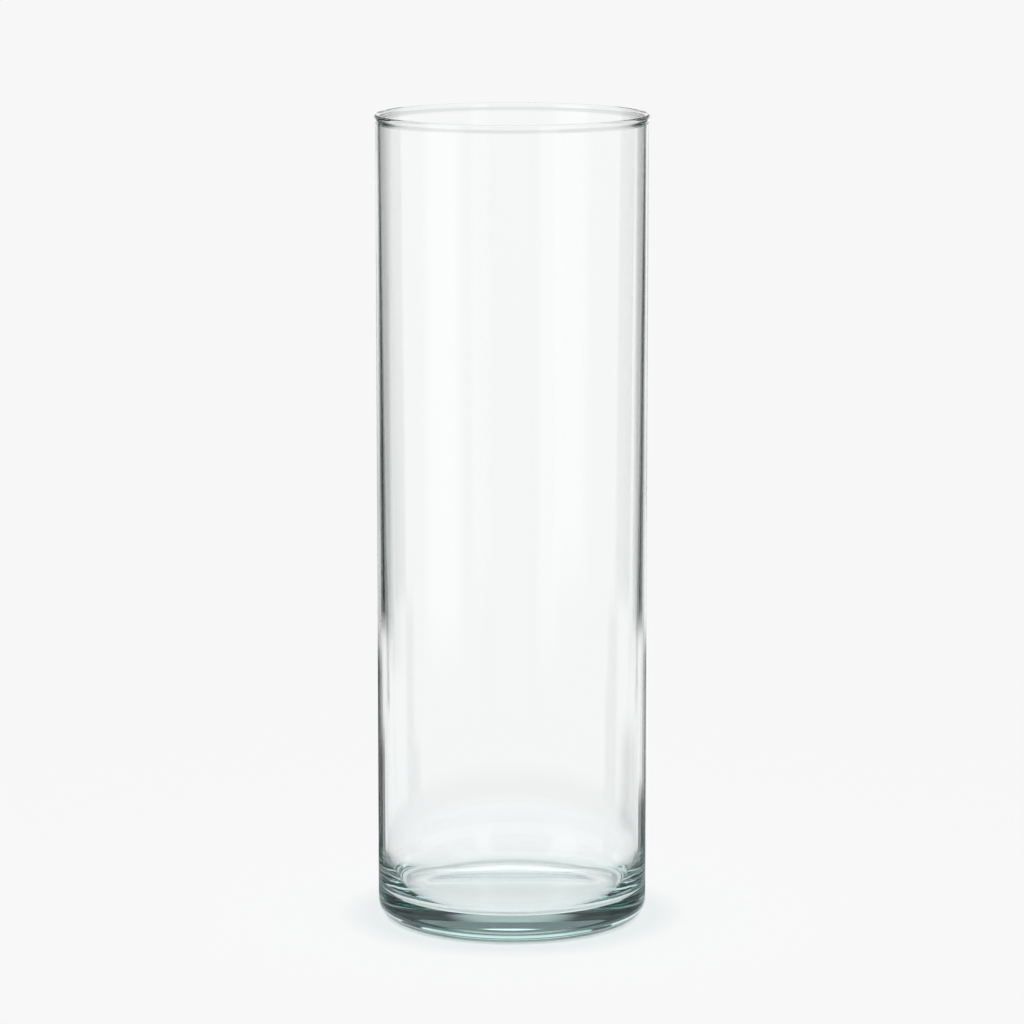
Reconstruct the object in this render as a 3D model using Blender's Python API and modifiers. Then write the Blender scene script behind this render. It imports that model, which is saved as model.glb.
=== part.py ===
"""Glass cylinder vase: one turned piece of clear glass, open at the top.

The vase stands upright along +Z, with its origin at the centre of the ring that it
stands on. All sizes are in metres.
"""

import math

import bpy

# Driving dimensions.
OUTER_RADIUS = 0.04445
HEIGHT = 0.2667
RIM_WALL = 0.0013
LOW_WALL = 0.0030
FLOOR_TOP = 0.0089
FLOOR_RADIUS = 0.0366
CORNER_HEIGHT = 0.016
HEEL_RADIUS = 0.0055
BEAD_OUT = 0.00065
BEAD_HALF_HEIGHT = 0.00095
BEAD_FADE = 0.0022
RECESS_RADIUS = 0.0303
RECESS_RISE = 0.0012

# How finely the outline and the turn are divided.
TURN_STEPS = 48
CORNER_STEPS = 8
RIM_STEPS = 10
FADE_STEPS = 5
HEEL_STEPS = 7
RECESS_STEPS = 5
AXIS_MERGE = 0.000001

CORNER_TOP = FLOOR_TOP + CORNER_HEIGHT
BEAD_MIDDLE = HEIGHT - BEAD_HALF_HEIGHT


def clear_scene():
    """Remove every object that is already in the scene."""
    for old in list(bpy.data.objects):
        bpy.data.objects.remove(old, do_unlink=True)


def clear_glass():
    """Clear soda-lime glass with a faint aqua tint."""
    glass = bpy.data.materials.new("clear_glass")
    glass.use_nodes = True
    shader = glass.node_tree.nodes["Principled BSDF"]
    shader.inputs["Base Color"].default_value = (0.86, 0.95, 0.93, 1.0)
    shader.inputs["Roughness"].default_value = 0.02
    shader.inputs["Metallic"].default_value = 0.0
    shader.inputs["IOR"].default_value = 1.52
    shader.inputs["Transmission Weight"].default_value = 1.0
    return glass


def arc(centre, across, up, start, end, steps):
    """Points on part of an ellipse, from the start angle to the end angle in degrees."""
    points = []
    for step in range(steps + 1):
        angle = math.radians(start + (end - start) * step / steps)
        points.append((centre[0] + across * math.cos(angle), centre[1] + up * math.sin(angle)))
    return points


def inside():
    """The flat inner floor and the deep rounded corner, up to the foot of the inner wall."""
    across = OUTER_RADIUS - LOW_WALL - FLOOR_RADIUS
    points = [(0.0, FLOOR_TOP)]
    points += arc((FLOOR_RADIUS, CORNER_TOP), across, CORNER_HEIGHT, -90, 0, CORNER_STEPS)
    return points


def rim():
    """The fire-polished bead, from the top of the tapered inner wall to the plain outer wall."""
    inner = OUTER_RADIUS - RIM_WALL
    outer = OUTER_RADIUS + BEAD_OUT
    centre = ((inner + outer) / 2, BEAD_MIDDLE)
    points = arc(centre, (outer - inner) / 2, BEAD_HALF_HEIGHT, 180, 0, RIM_STEPS)
    for step in range(1, FADE_STEPS + 1):
        share = step / FADE_STEPS
        bulge = BEAD_OUT * math.cos(share * math.pi / 2) ** 2
        points.append((OUTER_RADIUS + bulge, BEAD_MIDDLE - BEAD_FADE * share))
    return points


def underside():
    """The rounded heel, the flat ring that the vase stands on and the shallow recess inside it."""
    points = arc((OUTER_RADIUS - HEEL_RADIUS, HEEL_RADIUS), HEEL_RADIUS, HEEL_RADIUS, 0, -90, HEEL_STEPS)
    ball = (RECESS_RADIUS**2 + RECESS_RISE**2) / (2 * RECESS_RISE)
    for step in range(RECESS_STEPS + 1):
        radius = RECESS_RADIUS * (1 - step / RECESS_STEPS)
        points.append((radius, RECESS_RISE - ball + math.sqrt(ball**2 - radius**2)))
    return points


def turned(name, outline, material):
    """An object turned about Z from an outline that starts and ends on the axis."""
    mesh = bpy.data.meshes.new(name)
    edges = [(i, i + 1) for i in range(len(outline) - 1)]
    mesh.from_pydata([(radius, 0.0, z) for radius, z in outline], edges, [])
    mesh.materials.append(material)
    made = bpy.data.objects.new(name, mesh)
    turn = made.modifiers.new("turn", "SCREW")
    turn.axis = "Z"
    turn.angle = 2 * math.pi
    turn.steps = TURN_STEPS
    turn.render_steps = TURN_STEPS
    turn.use_merge_vertices = True
    turn.merge_threshold = AXIS_MERGE
    turn.use_smooth_shade = True
    return made


def main():
    clear_scene()
    vase = turned("vase_body", inside() + rim() + underside(), clear_glass())
    collection = bpy.data.collections.new("glass_cylinder_vase")
    bpy.context.scene.collection.children.link(collection)
    collection.objects.link(vase)


main()
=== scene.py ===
# %% [markdown]
# # A clear glass cylinder vase
#
# This lesson dresses a turned glass vase that was first modelled as a plain solid. The vase is one
# piece of clear glass: a straight wall that is thin at the rim and thicker low down, a small round
# bead at the mouth, a heavy base with a soft inner corner, and a shallow recess under it. Clear glass
# has almost no colour of its own, so most of the work is the true thickness of the wall, the faint
# tint inside the glass, and what stands around the vase for the glass to bend and mirror.

import math

import bmesh
import bpy
from mathutils import Matrix, Vector


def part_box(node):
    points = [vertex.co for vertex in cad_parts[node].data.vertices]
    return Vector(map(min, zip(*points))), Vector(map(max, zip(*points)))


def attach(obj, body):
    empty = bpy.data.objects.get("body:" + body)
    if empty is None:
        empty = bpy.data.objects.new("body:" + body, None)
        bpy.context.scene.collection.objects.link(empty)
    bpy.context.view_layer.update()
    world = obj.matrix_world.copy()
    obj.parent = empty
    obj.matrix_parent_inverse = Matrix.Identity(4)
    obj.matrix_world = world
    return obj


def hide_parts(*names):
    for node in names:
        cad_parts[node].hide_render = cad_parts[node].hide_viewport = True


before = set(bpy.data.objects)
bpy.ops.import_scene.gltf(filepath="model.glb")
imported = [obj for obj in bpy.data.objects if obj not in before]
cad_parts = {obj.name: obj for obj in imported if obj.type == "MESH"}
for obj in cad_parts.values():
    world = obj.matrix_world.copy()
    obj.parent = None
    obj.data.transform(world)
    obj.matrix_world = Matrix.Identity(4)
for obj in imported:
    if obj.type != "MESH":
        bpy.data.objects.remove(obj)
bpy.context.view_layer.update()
print("frame nodes:", sorted(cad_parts))

# %% [markdown]
# ## The sizes that the glass is drawn from
#
# The mouth is the widest place, so the box of the solid gives the bead's outer radius and the full
# height. The other sizes are those of the glass itself: how far the bead stands out, how thick the
# wall is at the rim and low down, where the flat inner floor lies, how deep its rounded corner goes,
# and how the heel and the recess under the base are shaped.

# %% Sizes of the glass, in metres
_, body_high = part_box("vase_body")
height = body_high.z
bead_out = 0.00065
outer_radius = body_high.x - bead_out
rim_wall = 0.0013
low_wall = 0.0030
bead_half_height = 0.00095
bead_fade = 0.0022
floor_top = 0.0089
floor_radius = 0.0366
corner_height = 0.016
heel_radius = 0.0055
recess_radius = 0.0303
recess_rise = 0.0012
print("height", round(1000 * height, 2), "mm, wall radius", round(1000 * outer_radius, 2), "mm")

# %% [markdown]
# ## Drawing the outline with a pen
#
# Every level cut of the vase is a circle, so half of its lengthwise cut says everything. The outline
# could be typed in as a long list of points, but a list hides the design. Here a small pen draws it
# with bmesh operators: a straight line is one vertex pulled out of the last one, and a round stretch
# is the last vertex spun about a centre. Smooth shading blends the normals between neighbouring
# points, so a straight line gets a support point close to each of its ends. Without them the flat
# floor and the wall would shade, and bend light, as if they were slightly domed.

# %% The pen
support = 0.0006


def pull_to(drawing, pen, radius, z):
    """Pulls a new vertex out of the last one and moves it to (radius, z)."""
    pulled = bmesh.ops.extrude_vert_indiv(drawing, verts=[pen])["verts"][0]
    pulled.co = (radius, 0.0, z)
    return pulled


def line_to(drawing, pen, radius, z):
    """Draws a straight line to (radius, z), with a support point close to each end."""
    start = pen.co.copy()
    end = Vector((radius, 0.0, z))
    step = (end - start).normalized() * support
    for place in (start + step, end - step, end):
        pen = pull_to(drawing, pen, place.x, place.z)
    return pen


def arc_from(drawing, pen, radius, z, degrees, steps):
    """Spins the last vertex about (radius, z). Returns the vertices drawn and the last of them."""
    known = set(drawing.verts)
    spun = bmesh.ops.spin(
        drawing,
        geom=[pen],
        cent=(radius, 0.0, z),
        axis=(0.0, 1.0, 0.0),
        angle=math.radians(degrees),
        steps=steps,
    )
    drawn = [vert for vert in drawing.verts if vert not in known]
    return drawn, spun["geom_last"][0]


# %% [markdown]
# ## Inside: the flat floor, the tall rounded corner and the tapered wall
#
# The plunger that presses a vase leaves a flat floor and a rounded corner, and the wall is drawn
# thinner towards the mouth. The corner is taller than it is wide. It could be an ellipse worked out
# point by point; spinning a true quarter circle and squashing it sideways gives the same curve.

# %% Draw the inside
corner_steps = 36
outline = bmesh.new()
pen = outline.verts.new((0.0, 0.0, floor_top))
pen = line_to(outline, pen, floor_radius, floor_top)
corner_top = floor_top + corner_height
corner_across = outer_radius - low_wall - floor_radius
corner, pen = arc_from(outline, pen, floor_radius, corner_top, -90, corner_steps)
bmesh.ops.scale(
    outline,
    verts=corner,
    vec=(corner_across / corner_height, 1.0, 1.0),
    space=Matrix.Translation((-floor_radius, 0.0, 0.0)),
)
bead_middle = height - bead_half_height
pen = line_to(outline, pen, outer_radius - rim_wall, bead_middle)
taper = math.degrees(math.atan((low_wall - rim_wall) / (bead_middle - corner_top)))
print("inner corner", round(1000 * corner_across, 2), "x", 1000 * corner_height, "mm")
print("the inner wall leans out by", round(taper, 2), "degrees")

# %% [markdown]
# ## The bead at the mouth
#
# The cut edge of the mouth is melted by a flame until it draws up into a small round bead, which then
# fades into the outer wall. Half a turn about the middle of the bead draws it, and a scale sets its
# height. Its fade is the curve of a cosine squared, which leaves the bead and meets the wall without
# a corner.

# %% Draw the bead
bead_steps = 36
fade_steps = 16
bead_across = (rim_wall + bead_out) / 2
bead_centre = outer_radius + bead_out - bead_across
bead, pen = arc_from(outline, pen, bead_centre, bead_middle, 180, bead_steps)
bmesh.ops.scale(
    outline,
    verts=bead,
    vec=(1.0, 1.0, bead_half_height / bead_across),
    space=Matrix.Translation((0.0, 0.0, -bead_middle)),
)
for step in range(1, fade_steps + 1):
    share = step / fade_steps
    stands_out = bead_out * math.cos(share * math.pi / 2) ** 2
    pen = pull_to(outline, pen, outer_radius + stands_out, bead_middle - bead_fade * share)
print("bead", round(2000 * bead_across, 2), "mm wide,", 2000 * bead_half_height, "mm high")

# %% [markdown]
# ## Outside: the wall, the heel, the standing ring and the recess
#
# The outer wall is dead straight, because it was formed against a mould. Below it the heel is rounded
# so that it doesn't chip, and the underside is pushed up a little in the middle, so that the vase
# stands steadily on a ring. The recess is a shallow cap of a large ball.

# %% Draw the outside and the underside
heel_steps = 28
recess_steps = 16
pen = line_to(outline, pen, outer_radius, heel_radius)
_, pen = arc_from(outline, pen, outer_radius - heel_radius, heel_radius, 90, heel_steps)
pen = line_to(outline, pen, recess_radius, 0.0)
ball = (recess_radius**2 + recess_rise**2) / (2 * recess_rise)
sweep = math.degrees(math.asin(recess_radius / ball))
_, pen = arc_from(outline, pen, 0.0, recess_rise - ball, -sweep, recess_steps)
pen.co.x = 0.0
print("outline of", len(outline.verts), "points; recess ball", round(1000 * ball), "mm in radius")

# %% [markdown]
# ## Turning the outline into glass
#
# A Screw modifier would do, but a spin in bmesh leaves a finished mesh that can be checked at once.
# The full turn merges its last copy into the first, and the points on the axis are merged into one
# pole above and one below. Only then are the normals worked out, because glass needs them to point
# out of the glass everywhere: they tell the ray whether it goes in or comes out.

# %% Turn the outline
turn_steps = 288
merge_within = 0.000002
bmesh.ops.spin(
    outline,
    geom=outline.verts[:] + outline.edges[:],
    cent=(0.0, 0.0, 0.0),
    axis=(0.0, 0.0, 1.0),
    angle=2 * math.pi,
    steps=turn_steps,
    use_merge=True,
)
bmesh.ops.remove_doubles(outline, verts=outline.verts[:], dist=merge_within)
bmesh.ops.recalc_face_normals(outline, faces=outline.faces[:])
for face in outline.faces:
    face.smooth = True
print(len(outline.faces), "faces,", turn_steps, "steps round")

# %% [markdown]
# ## Checking the glass before it becomes an object
#
# A bmesh is only a drawing in memory. Glass has to be closed, or light would leak in where it can't
# come out again, so the edges that don't join exactly two faces are counted while the drawing can
# still be asked. Its volume gives the weight. Then the drawing becomes an object in the scene, by a
# helper that the floor and the cards use too.

# %% Check the glass and make it an object
def finished_object(drawing, name):
    """Makes a bmesh into an object in the scene, and frees the bmesh."""
    data = bpy.data.meshes.new(name)
    drawing.to_mesh(data)
    drawing.free()
    made = bpy.data.objects.new(name, data)
    bpy.context.scene.collection.objects.link(made)
    return made


glass_density = 2500
open_edges = [edge for edge in outline.edges if len(edge.link_faces) != 2]
glass_volume = outline.calc_volume(signed=True)
vase_glass = finished_object(outline, "vase_glass")
triangles = sum(len(face.vertices) - 2 for face in vase_glass.data.polygons)
print(triangles, "triangles,", len(open_edges), "open edges")
print("glass", round(1e6 * glass_volume, 1), "cubic cm,", round(glass_density * glass_volume, 3), "kg")

# %% [markdown]
# ## Writing shader maths as Python
#
# Node trees are long to write out by hand. A small class wraps a socket and overloads the operators,
# so that an expression such as 1 - mask adds its own Math node. Every other node comes from one
# method that takes the node's type, its settings and what goes into its sockets.

# %% A material that builds its own nodes
class Value:
    """One number-carrying output socket, with operators that add Math nodes."""

    def __init__(self, maker, socket):
        self.maker = maker
        self.socket = socket

    def _math(self, operation, first, second):
        return self.maker.node("ShaderNodeMath", {"operation": operation}, {0: first, 1: second})

    def __add__(self, other):
        return self._math("ADD", self, other)

    def __radd__(self, other):
        return self._math("ADD", other, self)

    def __sub__(self, other):
        return self._math("SUBTRACT", self, other)

    def __rsub__(self, other):
        return self._math("SUBTRACT", other, self)

    def __mul__(self, other):
        return self._math("MULTIPLY", self, other)

    def __rmul__(self, other):
        return self._math("MULTIPLY", other, self)


class Finish:
    """A material, or the world, whose nodes are added one by one."""

    def __init__(self, name, owner=None):
        self.owner = owner or bpy.data.materials.new(name)
        self.owner.use_nodes = True
        self.tree = self.owner.node_tree
        self.tree.nodes.clear()
        kind = "ShaderNodeOutputWorld" if owner else "ShaderNodeOutputMaterial"
        self.output = self.tree.nodes.new(kind)

    def node(self, kind, settings=None, inputs=None, out=0):
        """Adds a node: its settings are set first, then its sockets get values or links."""
        added = self.tree.nodes.new(kind)
        for name, value in (settings or {}).items():
            setattr(added, name, value)
        for name, value in (inputs or {}).items():
            if isinstance(value, Value):
                self.tree.links.new(value.socket, added.inputs[name])
            else:
                added.inputs[name].default_value = value
        return Value(self, added.outputs[out])

    def finish(self, surface, volume=None):
        """Links the surface, and the volume if there is one, to the material's output."""
        self.tree.links.new(surface.socket, self.output.inputs["Surface"])
        if volume:
            self.tree.links.new(volume.socket, self.output.inputs["Volume"])
        return self.owner


print("shader helpers ready")

# %% [markdown]
# ## Clear glass with a breath of aqua
#
# Ordinary soda-lime glass holds a trace of iron, which takes a little red out of light on its way
# through. In a wall of two millimetres nobody sees it; through the heavy base, where light runs
# sideways for centimetres, it turns sea green. Painting the surface green would tint the wall just as
# much. A Volume Absorption node inside the closed mesh tints by distance, as real glass does. The
# surface is almost perfectly smooth: a very soft, upright waviness is left by the mould and the
# reheating, and a trace of handling haze changes the roughness slightly from place to place.

# %% The waviness and the haze of the surface
upright_stretch = 0.22
fine_share = 0.2
least_rough = 0.002
haze_adds = 0.006
glass = Finish("clear_glass")
place = glass.node("ShaderNodeTexCoord", out="Object")
upright = glass.node("ShaderNodeMapping", {}, {"Vector": place, "Scale": (1.0, 1.0, upright_stretch)})
broad = glass.node("ShaderNodeTexNoise", {}, {"Vector": upright, "Scale": 55.0, "Detail": 1.0})
fine = glass.node("ShaderNodeTexNoise", {}, {"Vector": upright, "Scale": 150.0, "Detail": 0.0})
waviness = broad + fine_share * fine
wavy = glass.node("ShaderNodeBump", {}, {"Height": waviness, "Strength": 0.2, "Distance": 0.00015})
haze = glass.node("ShaderNodeTexNoise", {}, {"Vector": place, "Scale": 30.0, "Detail": 4.0})
roughness = least_rough + haze_adds * haze
print("roughness from", least_rough, "to", least_rough + haze_adds)

# %% The clear glass and its tint
glass_index = 1.52
tint_colour = (0.5, 0.9, 0.87, 1.0)
tint_density = 8.0
clear = glass.node(
    "ShaderNodeBsdfPrincipled",
    {},
    {
        "Base Color": (1.0, 1.0, 1.0, 1.0),
        "Roughness": roughness,
        "Metallic": 0.0,
        "IOR": glass_index,
        "Transmission Weight": 1.0,
        "Normal": wavy,
    },
)
tint = glass.node("ShaderNodeVolumeAbsorption", {}, {"Color": tint_colour, "Density": tint_density})
vase_glass.data.materials.append(glass.finish(clear, tint))
red_lost = tint_density * (1 - tint_colour[0])
print("glass: index", glass_index, "and red falls by", round(red_lost, 1), "per metre")

# %% Put the glass in the place of the plain solid
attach(vase_glass, "root")
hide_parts("vase_body")

# %% [markdown]
# ## The floor
#
# Glass is shown best on a plain pale floor that runs on behind it without a corner, so that nothing
# but the vase has an edge. The floor lies a hair below the standing ring, because two surfaces in
# exactly the same place would fight over which of them the light meets first.

# %% Lay the floor
floor_gap = 0.0001
floor_reach = 9.0
floor_mesh = bmesh.new()
bmesh.ops.create_circle(floor_mesh, cap_ends=True, radius=floor_reach, segments=96)
bmesh.ops.translate(floor_mesh, verts=floor_mesh.verts[:], vec=(0.0, 0.0, -floor_gap))
studio_floor = finished_object(floor_mesh, "studio_floor")
print("floor", 2 * floor_reach, "m across")

# %% [markdown]
# ## White paper with a soft shadow at the foot
#
# In white light from all sides clear glass hardly shades the floor. What the eye expects is a faint
# grey close round the heel, and the light alone leaves it too weak. It could be thrown by a hidden
# object, but painting it into the paper's colour is simpler and free of noise: the paper is darkest
# beside the vase and eases back to white a centimetre and a half further out. Under the vase, out to
# just past the standing ring, nothing is painted, so that the floor seen through the base stays
# bright.

# %% Make the white paper
def eased(value, start, end, first=0.0, last=1.0):
    """Goes softly from the first number to the last while the value goes from start to end."""
    return value.maker.node(
        "ShaderNodeMapRange",
        {"interpolation_type": "SMOOTHSTEP"},
        {"Value": value, "From Min": start, "From Max": end, "To Min": first, "To Max": last},
    )


paper_white = 0.985
shade_depth = 0.07
shade_begins = 0.041
shade_fades = 0.046
shade_ends = 0.06
paper = Finish("white_paper")
place = paper.node("ShaderNodeTexCoord", out="Object")
reach = paper.node("ShaderNodeVectorMath", {"operation": "LENGTH"}, {0: place}, out="Value")
shade = eased(reach, shade_fades, shade_ends, shade_depth, 0.0)
beyond = paper.node("ShaderNodeMath", {"operation": "GREATER_THAN"}, {0: reach, 1: shade_begins})
matt = paper.node(
    "ShaderNodeBsdfPrincipled",
    {},
    {"Base Color": paper_white - shade * beyond, "Roughness": 1.0, "Specular IOR Level": 0.0},
)
studio_floor.data.materials.append(paper.finish(matt))
print("shadow painted out to", 1000 * shade_ends, "mm from the middle")

# %% [markdown]
# ## Cards that draw the edges
#
# On a white ground clear glass vanishes unless something dark stands beside the bright field. The
# edges of the wall bend light from far to the side, so tall dark cards stand there, and each edge
# picks one up as a dark line. The cards are hidden from the camera, from scattered light and from
# shadows, and only the glass shows them. Each one is an upright line of points, spun about the axis
# of the vase. How much it covers is kept at its points: nothing at its ends, all in its middle, so
# that its line in the glass has soft sides.

# %% A curved card with soft ends
card_steps = 40


def soft(share):
    """Eases from 0 to 1 as the share goes from 0 to 1."""
    share = min(max(share, 0.0), 1.0)
    return share * share * (3 - 2 * share)


def show_only_in_glass(thing):
    """Hides a thing from the camera, from scattered light and from shadows."""
    thing.visible_camera = False
    thing.visible_diffuse = False
    thing.visible_shadow = False


def curved_card(name, middle, half, distance, low, high, side_fade, foot_fade, top_fade, most):
    """A card round the vase's axis. Angles are in degrees, from +Y towards -X."""
    card_mesh = bmesh.new()
    lower = card_mesh.verts.new((0.0, distance, low))
    upper = card_mesh.verts.new((0.0, distance, high))
    upright = card_mesh.edges.new((lower, upper))
    bmesh.ops.subdivide_edges(card_mesh, edges=[upright], cuts=card_steps - 1)
    turn = Matrix.Rotation(math.radians(middle - half), 3, "Z")
    bmesh.ops.rotate(card_mesh, verts=card_mesh.verts[:], matrix=turn)
    bmesh.ops.spin(
        card_mesh,
        geom=card_mesh.verts[:] + card_mesh.edges[:],
        axis=(0.0, 0.0, 1.0),
        angle=math.radians(2 * half),
        steps=card_steps,
    )
    cover = card_mesh.verts.layers.float.new("cover")
    for vert in card_mesh.verts:
        angle = math.degrees(math.atan2(-vert.co.x, vert.co.y))
        aside = abs((angle - middle + 180) % 360 - 180)
        ends = soft((vert.co.z - low) / foot_fade) * soft((high - vert.co.z) / top_fade)
        vert[cover] = most * ends * soft((half - aside) / side_fade)
    card = finished_object(card_mesh, name)
    show_only_in_glass(card)
    return card


print("card helper ready")

# %% [markdown]
# ## Two kinds of card
#
# Light reaches the eye from a clear vase in two ways. Most of it comes straight through the two
# walls. The rest was mirrored at least once, on the outside or deep in the base. A card that draws
# the edges belongs to the first kind of light, and a card or soft box that shapes the reflections
# belongs to the second. Letting each card be seen by only one of them keeps stray bars out of the
# clear middle of the vase. The Light Path node counts the mirrorings on the way. It also counts the
# scatterings, and light that the floor has scattered sees no card at all, because the cards would
# otherwise darken the floor under the glass.

# %% Finishes for the cards
def way_of_the_light(finish):
    """Two yes-or-no values: was the light mirrored, and was it never scattered?"""
    half = 0.5  # the counts are whole numbers, so one half tells none from some
    mirrorings = finish.node("ShaderNodeLightPath", out="Glossy Depth")
    was_mirrored = finish.node("ShaderNodeMath", {"operation": "GREATER_THAN"}, {0: mirrorings, 1: half})
    scatterings = finish.node("ShaderNodeLightPath", out="Diffuse Depth")
    not_scattered = finish.node("ShaderNodeMath", {"operation": "LESS_THAN"}, {0: scatterings, 1: half})
    return was_mirrored, not_scattered


def card_finish(name, colour, strength, mirrored):
    """Emission where the card covers, seen straight through the glass or mirrored, and no lamp."""
    card = Finish(name)
    cover = card.node("ShaderNodeAttribute", {"attribute_name": "cover"}, out="Fac")
    was_mirrored, not_scattered = way_of_the_light(card)
    seen = was_mirrored if mirrored else 1 - was_mirrored
    light = card.node("ShaderNodeEmission", {}, {"Color": colour, "Strength": strength})
    gone = card.node("ShaderNodeBsdfTransparent")
    mixed = card.node("ShaderNodeMixShader", {}, {0: cover * seen * not_scattered, 1: gone, 2: light})
    material = card.finish(mixed)
    material.cycles.emission_sampling = "NONE"
    return material


edge_black = card_finish("edge_black", (0.8, 1.0, 0.95, 1.0), 0.02, False)
mirror_black = card_finish("mirror_black", (0.75, 1.0, 0.93, 1.0), 0.035, True)
print("finishes:", edge_black.name, mirror_black.name)

# %% [markdown]
# ## The cards behind the edges, the foot and the rim
#
# Two cards behind the vase, one to each side, draw its two edges as they are seen from the front.
# Six more stand round the other sides, so that the edges also stay dark from there. Wide, faint
# shades let the grey beside an edge run out softly towards the clear middle. Two low cards darken
# the foot of the wall. Two wide cards that only start near the height of the mouth are for the bead:
# it is so small and round that it bends light from far above and beside it into a thin dark line.

# %% Stand the edge cards round the vase
front_edges = [(27.4, 4.6, 0.45, 1.0), (-32.3, 6.7, 0.30, 1.0)]
other_edges = [(side, 4.5, 0.30, 0.9) for side in (67.5, 112.5, 157.5, -67.5, -112.5, -157.5)]
for number, (middle, half, distance, most) in enumerate(front_edges + other_edges):
    card = curved_card(
        "edge_card_" + str(number),
        middle,
        half,
        distance,
        low=0.0,
        high=0.6,
        side_fade=1.5,
        foot_fade=0.014,
        top_fade=0.1,
        most=most,
    )
    card.data.materials.append(edge_black)
print(len(front_edges + other_edges), "edge cards")

# %% Stand the shades, the low cards and the cards for the bead
foot_fade = 0.01
for name, middle, half, distance, low, high, side_fade, top_fade, most in (
    ("shade_left", 19.0, 8.0, 0.36, 0.0, 0.6, 7.0, 0.1, 0.2),
    ("shade_right", -20.0, 6.0, 0.36, 0.0, 0.6, 5.0, 0.1, 0.1),
    ("edge_foot_left", 27.8, 4.0, 0.30, 0.0, 0.07, 1.5, 0.02, 1.0),
    ("low_shade_right", -40.0, 15.0, 0.11, 0.0, 0.05, 6.0, 0.02, 0.3),
    ("bead_card_left", 36.0, 26.0, 0.26, 0.246, 0.6, 10.0, 0.1, 1.0),
    ("bead_card_right", -36.0, 26.0, 0.26, 0.246, 0.6, 10.0, 0.1, 1.0),
):
    card = curved_card(name, middle, half, distance, low, high, side_fade, foot_fade, top_fade, most)
    card.data.materials.append(edge_black)
    print(name, "at", middle, "degrees,", distance, "m away")

# %% [markdown]
# ## The cards that are only mirrored
#
# The heavy base turns light round inside itself and mirrors what stands close by, which is what
# makes thick glass look thick. Four low cards a few centimetres from the foot put dark shapes into
# its two sides. Two tall cards further off are mirrored in the wall and give it a second, fainter
# line beside each edge. If they were seen straight through the glass as well, they would stand in it
# as broad grey slabs.

# %% Stand the cards that are only mirrored
foot_fade = 0.004
for name, middle, half, distance, low, high, side_fade, top_fade, most in (
    ("low_card_left", 47.0, 9.5, 0.085, 0.0, 0.088, 2.0, 0.02, 0.95),
    ("low_card_far_left", 54.0, 7.5, 0.087, 0.0, 0.058, 2.0, 0.02, 0.95),
    ("low_card_right", -44.5, 8.5, 0.085, 0.0, 0.09, 2.5, 0.02, 0.9),
    ("low_card_far_right", -54.0, 9.0, 0.087, 0.0, 0.035, 2.5, 0.015, 0.9),
    ("tall_card_left", 45.2, 16.3, 0.32, 0.03, 0.45, 1.5, 0.1, 1.0),
    ("tall_card_right", -43.5, 13.2, 0.32, 0.03, 0.45, 1.5, 0.1, 0.95),
):
    card = curved_card(name, middle, half, distance, low, high, side_fade, foot_fade, top_fade, most)
    card.data.materials.append(mirror_black)
    print(name, "at", middle, "degrees,", distance, "m away")

# %% [markdown]
# ## A grey ring round the foot
#
# The heel also mirrors the floor right beside it, and a heel that mirrors only white has no outline.
# A flat grey ring lies just above the floor, hidden from everything but mirrored light. It is one
# line of points from its inner to its outer edge, spun once round, and it covers nothing at either
# edge so that no hard circle shows in the glass.

# %% Lay the grey ring round the foot
ring_inner = 0.048
ring_outer = 0.130
ring_lift = 0.0004
ring_inner_fade = 0.008
ring_outer_fade = 0.04
ring_most = 0.75
ring_mesh = bmesh.new()
inner_end = ring_mesh.verts.new((0.0, ring_inner, ring_lift))
outer_end = ring_mesh.verts.new((0.0, ring_outer, ring_lift))
spoke = ring_mesh.edges.new((inner_end, outer_end))
bmesh.ops.subdivide_edges(ring_mesh, edges=[spoke], cuts=24)
bmesh.ops.spin(
    ring_mesh,
    geom=ring_mesh.verts[:] + ring_mesh.edges[:],
    axis=(0.0, 0.0, 1.0),
    angle=2 * math.pi,
    steps=96,
    use_merge=True,
)
cover = ring_mesh.verts.layers.float.new("cover")
for vert in ring_mesh.verts:
    out_from_axis = vert.co.to_2d().length
    inner_soft = soft((out_from_axis - ring_inner) / ring_inner_fade)
    outer_soft = soft((ring_outer - out_from_axis) / ring_outer_fade)
    vert[cover] = ring_most * inner_soft * outer_soft
foot_ring = finished_object(ring_mesh, "foot_ring")
show_only_in_glass(foot_ring)
foot_ring.data.materials.append(mirror_black)
print("grey ring,", len(foot_ring.data.polygons), "faces")

# %% [markdown]
# ## Soft boxes for the reflections
#
# The glass mirrors a few percent of what stands in front of it. A tall soft box to the left and a
# weaker one to the right give the two broad pale streaks that say glass is there. They are only seen
# mirrored, so they light nothing else and leave no bright square behind the vase.

# %% Stand the soft boxes
box_white = (1.0, 1.0, 1.0, 1.0)
for name, middle, half, strength in (
    ("soft_box_left", 122.0, 22.0, 1.5),
    ("soft_box_right", -150.0, 12.0, 1.25),
):
    box = curved_card(
        name,
        middle,
        half,
        distance=0.40,
        low=0.0,
        high=0.6,
        side_fade=0.6 * half,
        foot_fade=0.05,
        top_fade=0.2,
        most=1.0,
    )
    box.data.materials.append(card_finish(name, box_white, strength, True))
    print(name, "at", middle, "degrees, strength", strength)

# %% [markdown]
# ## A white tent, and the room that the base mirrors
#
# A light tent is the plainest way to light glass: white on every side, so that the floor stays pale
# right up to the horizon. But glass that mirrors nothing dark looks like plastic. The heavy base and
# the bead turn light round inside themselves, and they look their best when that light comes from a
# room: dim walls, a bright line at the horizon, a pale backdrop behind and a broad white light
# overhead. The world is therefore a white tent for everything but mirrored light, which sees the
# room. It isn't sampled as a lamp, because such samples wouldn't know how the light had come.

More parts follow.
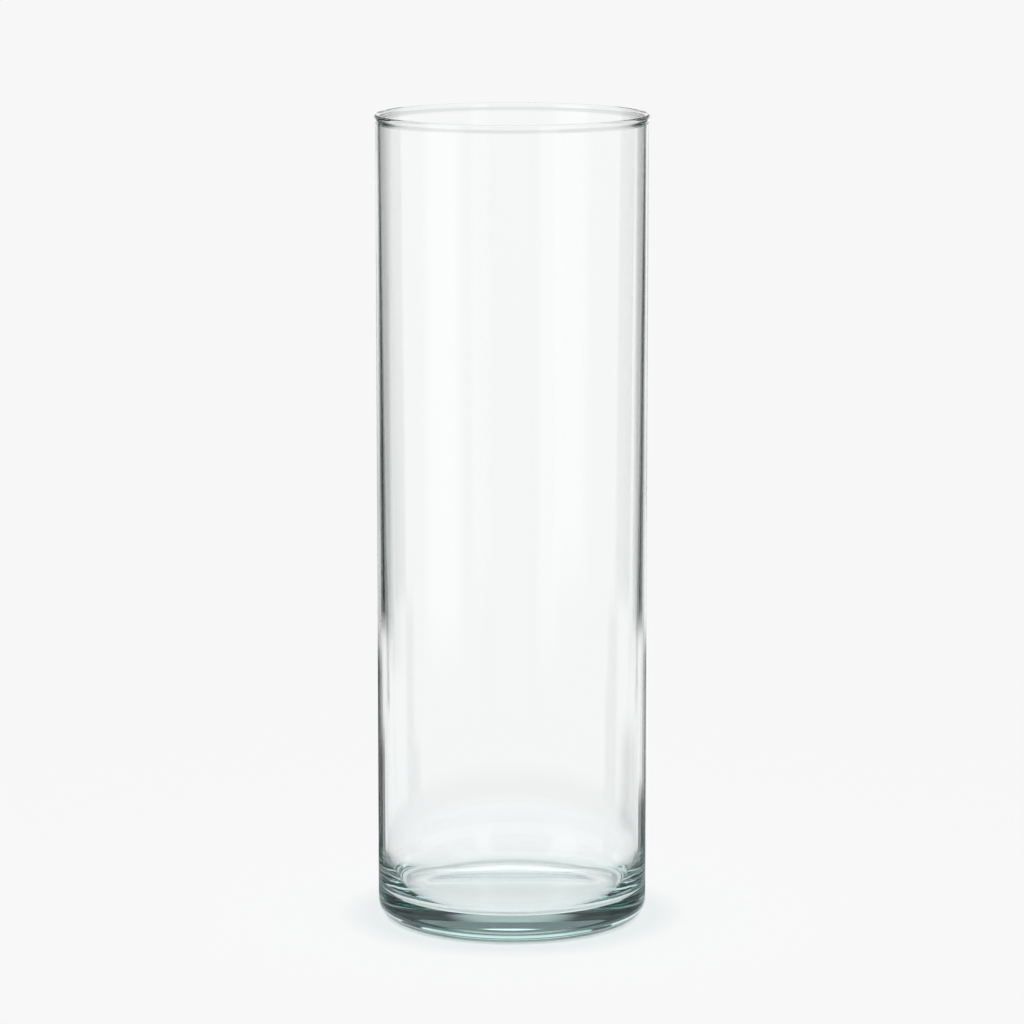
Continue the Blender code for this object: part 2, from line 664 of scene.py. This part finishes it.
# %% The room that mirrored light sees
walls = 0.06
horizon_light = 0.87
overhead_light = 0.86
backdrop_light = 0.5
world = bpy.data.worlds.new("light_tent")
world.use_nodes = True
world.cycles.sampling_method = "NONE"
tent = Finish("light_tent", world)
direction = tent.node("ShaderNodeTexCoord", out="Generated")
up = tent.node("ShaderNodeSeparateXYZ", {}, {0: direction}, out="Z")
behind = tent.node("ShaderNodeSeparateXYZ", {}, {0: direction}, out="Y")
overhead = eased(up, 0.5, 0.92)
backdrop = eased(behind, 0.9, 0.97)
skyline = eased(up, 0.06, 0.14, horizon_light, 0.0)
room = walls + skyline + overhead_light * overhead + backdrop_light * backdrop
print("room: walls", walls, "and", round(walls + overhead_light, 2), "overhead")

# %% [markdown]
# ## Which light sees what
#
# The tent is one even white for the camera and for the light that falls on the floor. Light that has
# come straight through the glass finds it a little dimmer above the horizon, so that the wall stands
# out faintly from the plain ground, as glass does that mirrors some of the light away. Light that
# reaches the floor through the glass is a little stronger, to make up for what the base holds back.
# These are small cheats on the stage, and the glass itself stays true.

# %% Light the tent
tent_strength = 0.945
dimmer_straight = 0.15
stronger_under_glass = 0.1
seen_directly = tent.node("ShaderNodeLightPath", out="Is Camera Ray")
under_glass = tent.node("ShaderNodeLightPath", out="Is Transmission Ray")
was_mirrored, not_scattered = way_of_the_light(tent)
above = tent.node("ShaderNodeMapRange", {}, {"Value": up, "From Min": 0.07, "From Max": 0.12})
straight = tent_strength - dimmer_straight * above * (1 - seen_directly)
seen = straight + was_mirrored * (room - straight)
scattered_light = tent_strength + stronger_under_glass * under_glass
brightness = scattered_light + not_scattered * (seen - scattered_light)
white = (1.0, 1.0, 1.0, 1.0)
tent.finish(tent.node("ShaderNodeBackground", {}, {"Color": white, "Strength": brightness}))
scene = bpy.context.scene
scene.world = world
scene.view_settings.view_transform = "Standard"
print("tent strength", tent_strength)

# %% [markdown]
# ## Letting light through many layers
#
# Looking through the vase, a ray meets four surfaces, and in the base it may bounce inside the glass
# a dozen times before it finds a way out. With too few bounces it ends in black, so the limits are
# raised. Cycles also blurs glass a little for light that has been scattered before. That saves noise
# but dims the floor under the vase, so it is switched off.

# %% Raise the bounce limits
scene.cycles.max_bounces = 32
scene.cycles.transmission_bounces = 32
scene.cycles.glossy_bounces = 24
scene.cycles.diffuse_bounces = 4
scene.cycles.transparent_max_bounces = 32
scene.cycles.blur_glossy = 0.0
print("up to", scene.cycles.max_bounces, "bounces")

# %% [markdown]
# ## The camera
#
# The vase is seen from a little above its mouth with a long lens, from about a metre and a half away,
# so that its sides stay nearly parallel and its mouth and base show as slim ellipses.

# %% Aim the camera
tip_down = 9.707
camera_data = bpy.data.cameras.new("camera")
camera_data.sensor_width = 36.0
camera_data.lens = 163.6
camera = bpy.data.objects.new("camera", camera_data)
scene.collection.objects.link(camera)
scene.camera = camera
camera.location = (0.0, -1.510, 0.3938)
camera.rotation_euler = (math.radians(90 - tip_down), 0.0, 0.0)
print("camera", round(camera.location.length, 3), "m from the foot of the vase")
